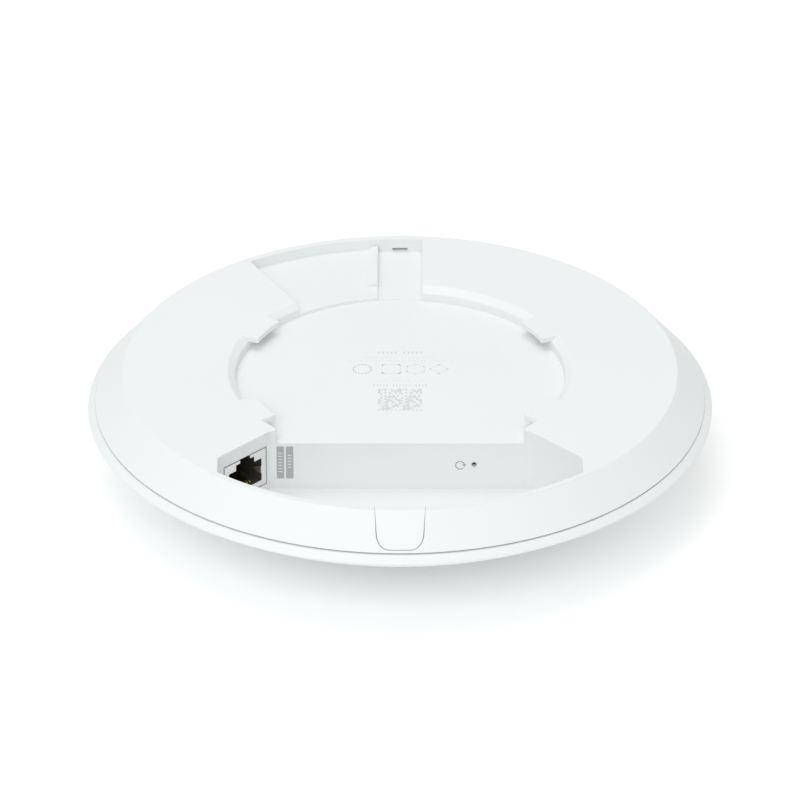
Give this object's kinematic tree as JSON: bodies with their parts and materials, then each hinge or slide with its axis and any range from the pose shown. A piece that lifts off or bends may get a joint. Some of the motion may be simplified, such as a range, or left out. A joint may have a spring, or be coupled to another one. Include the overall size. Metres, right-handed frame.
{
  "type": "ceiling access point",
  "caption": "Round white wireless access point for a ceiling: domed front cover, rear housing with bayonet recess, cable bay with angled network jack and reset pinhole.",
  "frame": {"origin": "centre of the flat rear face, in its plane, where the ceiling bracket's plane meets the disc", "axes": "+Z out of the rear face towards the ceiling, -Y towards the cable bay and cable outlet, +Y towards the latch slot, +X to the right when the rear face is seen with the cable bay at the bottom"},
  "size_m": [0.1714, 0.1714, 0.033],
  "materials": {
    "white_plastic": "fine matte moulded plastic",
    "light_guide": "translucent moulded plastic",
    "board": "solder mask",
    "aluminium_sheet": "stamped sheet",
    "pad": "soft silicone pad",
    "shield_sheet": "tinned sheet",
    "chip_resin": "moulded resin",
    "jack_sheet": "nickel-plated sheet",
    "black_plastic": "moulded plastic",
    "contact_gold": "gold-plated spring wire",
    "ferrite": "sintered ferrite",
    "can": "drawn can",
    "button_plastic": "moulded plastic",
    "led_lens": "clear lens",
    "screw_steel": "zinc-plated"
  },
  "bodies": {
    "housing": {"rear_housing": "white_plastic", "front_cover": "white_plastic", "light_ring": "light_guide", "ring_holder": "white_plastic", "centre_disc": "white_plastic", "main_board": "board", "heat_spreader": "aluminium_sheet", "thermal_pads": "pad", "processor_shield": "shield_sheet", "radio_shields": "shield_sheet", "processor_chip": "chip_resin", "memory_chips": "chip_resin", "radio_chips": "chip_resin", "jack_shell": "jack_sheet", "jack_insert": "black_plastic", "jack_contacts": "contact_gold", "network_transformer": "black_plastic", "power_transformer": "ferrite", "power_inductors": "ferrite", "capacitors": "can", "reset_switch": "black_plastic", "status_leds": "led_lens", "low_band_antennas": "shield_sheet", "high_band_antennas": "shield_sheet", "board_screws": "screw_steel", "spreader_screws": "screw_steel"},
    "reset_button": {"reset_button": "button_plastic"},
    "outlet_cover": {"cable_outlet_cover": "white_plastic"}
  },
  "joints": [
    {"name": "reset_press", "type": "slide", "parent": "housing", "child": "reset_button", "axis": [0, 1, 0], "range_m": [0, 0.00025], "stiffness_N_per_m": 800, "springref_m": -0.0005},
    {"name": "outlet_cover_lift", "type": "slide", "parent": "housing", "child": "outlet_cover", "axis": [0, 0, 1], "range_m": [0, 0.012]}
  ]
}
